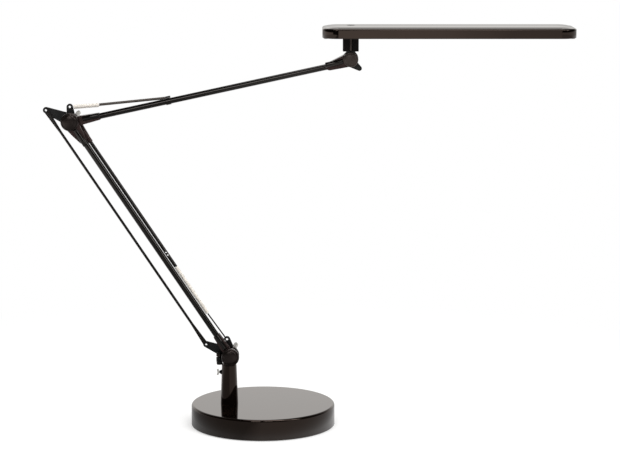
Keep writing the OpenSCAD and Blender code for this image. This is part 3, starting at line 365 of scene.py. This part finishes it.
def dressed(node, material, bevel=0.25, segments=2):
    """Copy of a CAD node, its triangles merged to faces and its edges rounded by bevel millimetres."""
    bm = bmesh.new()
    bm.from_mesh(nodes[node].data)
    bmesh.ops.remove_doubles(bm, verts=bm.verts, dist=weld)
    bmesh.ops.dissolve_limit(bm, angle_limit=math.radians(0.5), verts=bm.verts, edges=bm.edges)
    mesh = bpy.data.meshes.new(node + "_piece")
    bm.to_mesh(mesh)
    bm.free()
    # Normals that came with the loose triangles don't suit the merged faces.
    if "custom_normal" in mesh.attributes:
        mesh.attributes.remove(mesh.attributes["custom_normal"])
    shaded(mesh)
    piece = link(node + "_piece", mesh)
    if bevel:
        rounding = piece.modifiers.new("rounding", "BEVEL")
        rounding.width = bevel * mm
        rounding.segments = segments
        rounding.limit_method = "ANGLE"
        rounding.angle_limit = math.radians(crease)
        rounding.harden_normals = True
    piece.data.materials.append(material)
    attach(piece, nodes[node]["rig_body"])
    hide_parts(node)
    return piece


dressed("post", gloss_lacquer, bevel=0.3)
dressed("swivel_yoke", gloss_lacquer, bevel=0.35)
dressed("screw_boss", black_plastic, bevel=0.2)
dressed("post_wing_screw", nickel_painted_sheen)

# Lower joint
# Black steel plate keyed to the yoke's rear ear, with hollow rivets for the tie rod and the spring.
# A bolt with a moulded cover in front and a wing nut behind clamps the arm between fibre washers.
# A ribbed gland stands behind the yoke.

# Electro-coated steel: flat soft black, worn grey on the edges.
black_paint = finish("black_electrocoat", "#090909", "#302f2d", roughness=(0.42, 0.58), patch=10,
                     grain=0.15, grain_size=0.9, wear=0.35)
# Moulded cover: near black with a satin shine that spreads the light over its dome.
satin_cap = finish("satin_moulding", "#0c0908", "#2a2422", roughness=(0.28, 0.36), patch=12,
                   grain=0.05, grain_size=0.8, wear=0.2, **{"Specular Tint": linear("#ffe9e2")})
# Vulcanised fibre: dull red-grey card.
fibre = finish("vulcanised_fibre", "#6d655c", "#8b8175", roughness=(0.7, 0.85), patch=3, grain=0.3)


def spun(node, outline, foot, axis, material):
    """Moulding turned about an axis from (distance out, distance along) points, for a CAD node."""
    bm = bmesh.new()
    points = [bm.verts.new((out, 0, along)) for out, along in outline]
    for start, end in zip(points, points[1:]):
        bm.edges.new((start, end))
    bmesh.ops.spin(bm, geom=bm.verts[:] + bm.edges[:], cent=(0, 0, 0), axis=(0, 0, 1),
                   angle=2 * math.pi, steps=72, use_merge=True)
    bmesh.ops.remove_doubles(bm, verts=bm.verts, dist=weld)
    bmesh.ops.recalc_face_normals(bm, faces=bm.faces)
    stand = Matrix.Translation(foot) @ Vector(axis).to_track_quat("Z", "Y").to_matrix().to_4x4()
    bmesh.ops.transform(bm, matrix=stand, verts=bm.verts)
    mesh = bpy.data.meshes.new(node + "_turned")
    bm.to_mesh(mesh)
    bm.free()
    shaded(mesh, sharp_from=32)
    piece = link(node + "_turned", mesh)
    piece.data.materials.append(material)
    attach(piece, nodes[node]["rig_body"])
    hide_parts(node)


def domed_cap(node, material):
    """Hollow cover over a bolt's head: low dome with a ring pressed in near its rim."""
    low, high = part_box(node)
    r = (high.x - low.x) / 2
    depth = high.y - low.y
    # Points as shares of the radius and of the depth, from the rim over the dome to the inside.
    rim = ((1, 0), (1, 0.3), (0.985, 0.42), (0.95, 0.53), (0.9, 0.6), (0.86, 0.62))
    ring = ((0.845, 0.56), (0.815, 0.56))
    angles = [math.radians(9 * step) for step in range(1, 11)]
    dome = [(0.8 * math.cos(angle), 0.56 + 0.44 * math.sin(angle)) for angle in angles]
    inside = ((0, 0.72), (0.5, 0.7), (0.82, 0.3), (0.82, 0))
    outline = [(out * r, along * depth) for out, along in (*rim, *ring, *dome, *inside, rim[0])]
    spun(node, outline, ((low.x + high.x) / 2, high.y, (low.z + high.z) / 2), (0, -1, 0), material)


dressed("bracket_plate", black_paint, bevel=0.3)
dressed("bracket_rivets", black_paint, bevel=0.15)
dressed("lower_pivot_bolt", zinc_steel, bevel=0.3)
domed_cap("lower_cap", satin_cap)
coat(fibre, "fibre", "lower_washers")
dressed("lower_back_washer", zinc_steel, bevel=0.15)
dressed("lower_wing_nut", nickel_painted_sheen, bevel=0.5)

low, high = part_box("cord_gland")
gland_h = high.z - low.z
hole_r = 2 * mm
foot_r, foot_chamfer = 4.1 * mm, 0.4 * mm
body_r, body_h = 4.4 * mm, 4.4 * mm
groove_r, rib_r, rib_count = 3.9 * mm, 4.8 * mm, 3
rib_from, rib_pitch, rib_flank, rib_flat = 5 * mm, 2 * mm, 0.4 * mm, 1 * mm
neck_r, neck_from = 2.9 * mm, 11 * mm
flange_r, flange_t, flange_chamfer = 4.1 * mm, 0.9 * mm, 0.2 * mm
body = [(hole_r, 0), (foot_r - foot_chamfer, 0), (foot_r, foot_chamfer), (body_r, body_h)]
ribs = []
for start in (rib_from + rib * rib_pitch for rib in range(rib_count)):
    ribs += [(groove_r, start), (rib_r, start + rib_flank), (rib_r, start + rib_flank + rib_flat),
             (groove_r, start + 2 * rib_flank + rib_flat)]
flange = [(neck_r, neck_from), (neck_r, gland_h - flange_t), (flange_r, gland_h - flange_t),
          (flange_r, gland_h - flange_chamfer), (flange_r - flange_chamfer, gland_h), (hole_r, gland_h)]
spun("cord_gland", body + ribs + flange + body[:1],
     ((low.x + high.x) / 2, (low.y + high.y) / 2, low.z), (0, 0, 1), black_plastic)

# Lower arm
# Enamelled steel tube in two die-cast fittings, held by set screws, with the lead inside it.
# A thin sleeve and a steel spring lie beside it, and a tie rod runs alongside from plate to plate.

# Sprayed bronze on die-cast zinc: near black brown with a warm, smooth shine.
bronze_paint = finish("sprayed_bronze", "#271d1d", "#4a3a38", roughness=(0.22, 0.32), patch=12,
                      grain=0.04, grain_size=1, wear=0.3, **{"Specular Tint": linear("#ffe0d8")})
# Stoved enamel on drawn tube: black and very smooth, so it mirrors the room in one long line.
tube_enamel = finish("tube_enamel", "#040404", "#242220", roughness=(0.09, 0.15), patch=30, grain=0.02,
                     grain_size=2, wear=0.2, **{"Specular Tint": linear("#fff6f0")})
# Blackened steel wire: dark grey with a dull metal shine.
dark_wire = finish("blackened_wire", "#1b1a1b", "#4a484b", metallic=0.6, roughness=(0.25, 0.4), patch=6,
                   grain=0.05)
# Extruded jacket of the lead: soft dark grey, evenly dull.
lead_jacket = finish("lead_jacket", "#2c2c2c", "#3c3c3c", roughness=(0.45, 0.6), grain=0.1)
# Drawn spring wire, zinc plated: pale cream and softly bright. The near white is partly its own plating
# and partly a painted reflection of the white studio the wire mirrors.
spring_wire_painted_sheen = finish("spring_wire_with_painted_sheen", "#fffaf3", "#e6ded2", metallic=0.1, roughness=(0.35, 0.5),
                     patch=5, grain=0.05)

for node in ("lower_foot", "lower_fork"):
    dressed(node, bronze_paint, bevel=0.9, segments=3)
for node in ("lower_tube", "spring_sleeve"):
    dressed(node, tube_enamel, bevel=0.3)
dressed("lower_spring_hook", dark_wire, bevel=0)
tie_rod = dressed("tie_rod", tube_enamel, bevel=0.15)
coat(zinc_steel, "zinc_steel", "lower_arm_screws")
coat(lead_jacket, "lead_jacket", "lower_lead")

pivot = {joint["name"]: Vector(joint["pos_m"]) for joint in frame["joints"] if "pos_m" in joint}
elbow = pivot["upper_arm_hinge"]
down_arm = (pivot["lower_arm_hinge"] - elbow).normalized()
rear = Vector((0, 1, 0))


def thicken(mesh, axis, factor, eye=None):
    """Widens, seen from the front, a rod along axis by factor, and leaves its eyes as they are."""
    across = axis.cross(rear)
    reach = [(vert.co - elbow).dot(axis) for vert in mesh.vertices]
    line = [(vert.co - elbow).dot(across) for vert in mesh.vertices]
    middle = (min(line) + max(line)) / 2
    first, last = (min(reach) + eye, max(reach) - eye) if eye else (-math.inf, math.inf)
    for vert, length, side in zip(mesh.vertices, reach, line):
        if first < length < last:
            vert.co += across * (side - middle) * (factor - 1)


tie_rod_widening = 1.45
tie_rod_eye = 9 * mm
thicken(tie_rod.data, down_arm, tie_rod_widening, eye=tie_rod_eye)

barrel_r = 3.6 * mm
barrel_sunk = 1.2 * mm
barrel_edge_r = 0.8 * mm


def barrel(node, joint, towards, start=13 * mm):
    """Half-round back of the bore in a fitting, cast on its front face from start off the joint."""
    at = pivot[joint]
    axis = (pivot[towards] - at).normalized()
    reach = max((vert.co - at).dot(axis) for vert in nodes[node].data.vertices)
    middle = at + axis * (start + reach) / 2
    middle.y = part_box(node)[0].y + barrel_sunk
    stand = Matrix.Translation(middle) @ axis.to_track_quat("Z", "Y").to_matrix().to_4x4()
    bm = bmesh.new()
    bmesh.ops.create_cone(bm, cap_ends=True, segments=40, radius1=barrel_r, radius2=barrel_r,
                          depth=reach - start, matrix=stand)
    ends = [edge for edge in bm.edges if any(len(face.verts) > 4 for face in edge.link_faces)]
    bmesh.ops.bevel(bm, geom=ends, affect="EDGES", offset=barrel_edge_r, segments=3, profile=0.5,
                    material=-1)
    mesh = bpy.data.meshes.new(node + "_barrel")
    bm.to_mesh(mesh)
    bm.free()
    shaded(mesh)
    piece = link(node + "_barrel", mesh)
    piece.data.materials.append(tube_enamel)
    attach(piece, nodes[node]["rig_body"])


barrel("lower_foot", "lower_arm_hinge", "upper_arm_hinge")
barrel("lower_fork", "upper_arm_hinge", "lower_arm_hinge")

wire_r = 0.5 * mm
wire_pitch = 1.04 * mm
turn_steps = 14


def coil(name, start, end, radius):
    """Helix of spring wire between two points, closed at both ends."""
    axis = end - start
    turns = round(axis.length / wire_pitch)
    steps = turn_steps * turns
    bm = bmesh.new()
    upright = Matrix.Rotation(math.pi / 2, 4, "X")
    bmesh.ops.create_circle(bm, segments=8, radius=wire_r,
                            matrix=Matrix.Translation((radius, 0, 0)) @ upright)
    bmesh.ops.spin(bm, geom=bm.verts[:] + bm.edges[:], cent=(0, 0, 0), axis=(0, 0, 1),
                   dvec=(0, 0, (axis.length - 2 * wire_r) / steps), angle=2 * math.pi * turns,
                   steps=steps)
    bmesh.ops.holes_fill(bm, edges=[edge for edge in bm.edges if edge.is_boundary])
    bmesh.ops.recalc_face_normals(bm, faces=bm.faces)
    stand = Matrix.Translation(start) @ axis.to_track_quat("Z", "Y").to_matrix().to_4x4()
    bmesh.ops.transform(bm, matrix=stand @ Matrix.Translation((0, 0, wire_r)), verts=bm.verts)
    mesh = bpy.data.meshes.new(name)
    bm.to_mesh(mesh)
    bm.free()
    mesh.shade_smooth()
    piece = link(name, mesh)
    # The coil's near-white colour is partly a painted reflection.
    piece.data.materials.append(spring_wire_painted_sheen)
    return piece


# The coil lies beside the tube: how far down the arm from the elbow, how deep and how high.
coil_from, coil_to = 253 * mm, 334 * mm
spring_y = 7.5 * mm
spring_rise = 6.05 * mm
beside = elbow + rear * spring_y + down_arm.cross(rear) * spring_rise
lower_spring_r = 2.25 * mm
spring = coil("lower_spring_coil", beside + down_arm * coil_from, beside + down_arm * coil_to,
              lower_spring_r)
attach(spring, "lower_arm")
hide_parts("lower_spring")

# Elbow
# A bolt joins the two arms, with a moulded cover in front and a wing nut behind.
# A black steel plate turns on it and is kept upright by the tie rod, which hangs on its rivet.
dressed("elbow_bolt", zinc_steel, bevel=0.3)
domed_cap("elbow_cap", satin_cap)
dressed("elbow_plate", black_paint, bevel=0.3)
dressed("elbow_rivets", black_paint, bevel=0.15)
coat(fibre, "fibre", "elbow_washers")
dressed("elbow_back_washer", zinc_steel, bevel=0.15)
dressed("elbow_wing_nut", nickel_painted_sheen, bevel=0.5)

# Upper arm
# The same tube and fittings as below, with a lead and set screws of its own.
# A short spring hangs on the plate's lug, and its rod is tied down to the tube by a band.

# Oiled steel wire: grey brown, half dull.
oiled_wire = finish("oiled_steel_wire", "#5d5752", "#7d756e", metallic=0.5, roughness=(0.4, 0.55),
                    patch=6, grain=0.05)

for node in ("upper_foot", "upper_fork"):
    dressed(node, bronze_paint, bevel=0.9, segments=3)
barrel("upper_foot", "upper_arm_hinge", "head_tilt", start=18 * mm)
barrel("upper_fork", "head_tilt", "upper_arm_hinge", start=11 * mm)
for node in ("upper_tube", "upper_rod_band"):
    dressed(node, tube_enamel, bevel=0.3)
coat(zinc_steel, "zinc_steel", "upper_arm_screws")
coat(lead_jacket, "lead_jacket", "upper_lead")

# Places of the rod are taken along the arm and up from it, and the lug's from the elbow.
arm_slope = 12.25
upper_frame = Matrix.Translation(elbow) @ Matrix.Rotation(-math.radians(arm_slope), 4, "Y")
lug = elbow + Vector((-1.7 * mm, spring_y, 19 * mm))
rod_start = upper_frame @ Vector((43.9 * mm, spring_y, 13.2 * mm))
rod_end = upper_frame @ Vector((140 * mm, spring_y, 4.6 * mm))
rod_widening = 1.5
spring_rod = dressed("upper_spring_rod", oiled_wire, bevel=0)
thicken(spring_rod.data, (rod_end - rod_start).normalized(), rod_widening)
lug_hook = 5.5 * mm
rod_hook = 0.3 * mm
upper_spring_r = 2.5 * mm
pull = (rod_start - lug).normalized()
spring = coil("upper_spring_coil", lug + lug_hook * pull, rod_start - rod_hook * pull, upper_spring_r)
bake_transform(spring)
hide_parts("upper_spring")

# Head joint
# A bolt with a moulded cover and a lever behind clamps the knuckle in the arm's fork.
# The neck turns on the knuckle's pin and is screwed up into the head. A bead fills its front groove, and
# its pale colour is a painted highlight.

# Head's bolt cover, of the same moulding painted paler as painted light: satin grey brown that stands in
# for the light falling brighter on it than on the other covers.
painted_light_moulding = finish("satin_moulding_painted_light", "#352f2c", "#554d49", roughness=(0.34, 0.44), patch=12,
                  grain=0.06, grain_size=0.8, wear=0.2, **{"Specular Tint": linear("#ffe9e2")})
# Matt moulding of the neck: warm black that shines little.
neck_matt = finish("matt_moulding", "#0d0605", "#241a18", roughness=(0.45, 0.6), patch=14, grain=0.08,
                   **{"Specular IOR Level": 0.2})

dressed("head_bolt", zinc_steel, bevel=0.3)
# The head's cover gets the paler copy of the moulding, a painted light.
domed_cap("head_cap", painted_light_moulding)
coat(fibre, "fibre", "head_washers")
dressed("head_knob", black_plastic, bevel=0.3)
dressed("head_knuckle", black_plastic, bevel=0.3)
dressed("neck_bracket", neck_matt, bevel=0.4)
coat(zinc_steel, "zinc_steel", "neck_screw")

bead_r = 1.7 * mm
bead_margin = 1 * mm
low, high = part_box("neck_bracket")
middle = Vector(((low.x + high.x) / 2, low.y + bead_r, (low.z + high.z) / 2))
bm = bmesh.new()
bmesh.ops.create_cone(bm, cap_ends=True, segments=32, radius1=bead_r, radius2=bead_r,
                      depth=high.z - low.z - 2 * bead_margin, matrix=Matrix.Translation(middle))
mesh = bpy.data.meshes.new("neck_bead")
bm.to_mesh(mesh)
bm.free()
shaded(mesh)
bead = link("neck_bead", mesh)
# The bead's pale colour is a painted highlight down the neck's groove.
bead.data.materials.append(painted_light_moulding)
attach(bead, nodes["neck_bracket"]["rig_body"])

# Head
# Long shallow cover in the base's gloss brown, whose top slopes to a rounded edge all round.
# A nylon frame screwed into it holds the light guide and its diffuser, the LED strip and the driver.
# The touch button sits in the cover over the neck.

# Opal acrylic sheet: milky white, half clear and soft.
opal = finish("opal_acrylic", "#eceae4", "#dedcd6", roughness=(0.35, 0.45), patch=40, grain=0.02,
              **{"Transmission Weight": 0.15})
# Clear acrylic sheet: nearly colourless with polished faces.
clear_guide = finish("clear_acrylic", "#e8eef0", "#dfe8ea", roughness=(0.05, 0.1), patch=40,
                     **{"Transmission Weight": 0.8})
# White solder mask on the LED strip: chalky white, a little glossy.
white_board = finish("white_solder_mask", "#e4e4de", "#d2d0c8", roughness=(0.35, 0.45), patch=20)
# Phosphor gel of the LEDs: deep yellow with an even sheen.
led_yellow = finish("phosphor_gel", "#d8b23c", "#c79a2c", roughness=(0.3, 0.4), patch=3)
# Green solder mask on the driver board: dark green, half glossy.
green_board = finish("green_solder_mask", "#1d4a2a", "#2a5c38", roughness=(0.3, 0.4), patch=10)

# The top slopes to its rounded edge in four steps, each (width, rise) in millimetres, and each
# step's corners are tighter than the last one's.
shoulder = ((3, 0.6), (4, 0.6), (5, 0.5), (7, 0.4))
corner_share = 0.7
edge_r = 4.5 * mm
rim_edge_r = 1 * mm
button_reach = 20 * mm
cover = dressed("head_cover", gloss_lacquer, bevel=0)
low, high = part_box("head_cover")
centre = (low + high) / 2
edge_z = high.z - edge_r
drop = sum(rise for width, rise in shoulder) * mm
bm = bmesh.new()
bm.from_mesh(cover.data)
# The flat top is taken off, without the button's hole near its middle line, and closed by one face.
flats = {face for face in bm.faces if all(vert.co.z > high.z - hair for vert in face.verts)}
ring = {vert for face in flats for edge in face.edges if not flats.issuperset(edge.link_faces)
        for vert in edge.verts if abs(vert.co.y - centre.y) > button_reach}
bmesh.ops.delete(bm, geom=list(flats), context="FACES")
top = bm.faces.new(sorted(ring, key=lambda vert: math.atan2(vert.co.y - centre.y, vert.co.x - centre.x)))
# The rounded edge is pressed down to make room for the slope.
for vert in bm.verts:
    if vert.co.z > edge_z:
        vert.co.z = edge_z + (vert.co.z - edge_z) * (1 - drop / edge_r)
half = Vector((max(vert.co.x for vert in top.verts), max(vert.co.y for vert in top.verts))) - centre.xy
ends = [vert.co.x - centre.x for vert in top.verts if abs(vert.co.y - centre.y) > half.y - hair]
corner = half.x - max(ends)
for width, rise in shoulder:
    bmesh.ops.inset_region(bm, faces=[top], thickness=hair)
    tighter = corner * corner_share
    for vert in top.verts:
        for k in (0, 1):
            side = math.copysign(1, vert.co[k] - centre[k])
            turn = (vert.co[k] - centre[k] - side * (half[k] - corner)) / corner
            vert.co[k] = centre[k] + side * (half[k] - width * mm - tighter) + turn * tighter
        vert.co.z += rise * mm
    half -= Vector((width * mm, width * mm))
    corner = tighter
rim = [edge for edge in bm.edges if all(vert.co.z < low.z + 5 * hair for vert in edge.verts)
       and any(abs(face.normal.z) < 0.2 and face.normal.dot(face.calc_center_median() - centre) > 0
               for face in edge.link_faces)]
bmesh.ops.bevel(bm, geom=rim, affect="EDGES", offset=rim_edge_r, segments=3, profile=0.5, material=-1)
bm.to_mesh(cover.data)
bm.free()
shaded(cover.data, flat=600)

dressed("head_frame", black_plastic, bevel=0.2)
coat(opal, "opal", "diffuser")
coat(clear_guide, "clear_guide", "light_guide")
coat(white_board, "white_board", "led_board")
coat(led_yellow, "led_yellow", "leds")
coat(green_board, "green_board", "driver_board")
coat(zinc_steel, "zinc_steel", "head_screws")
dressed("dimmer_button", gloss_lacquer, bevel=0.3)
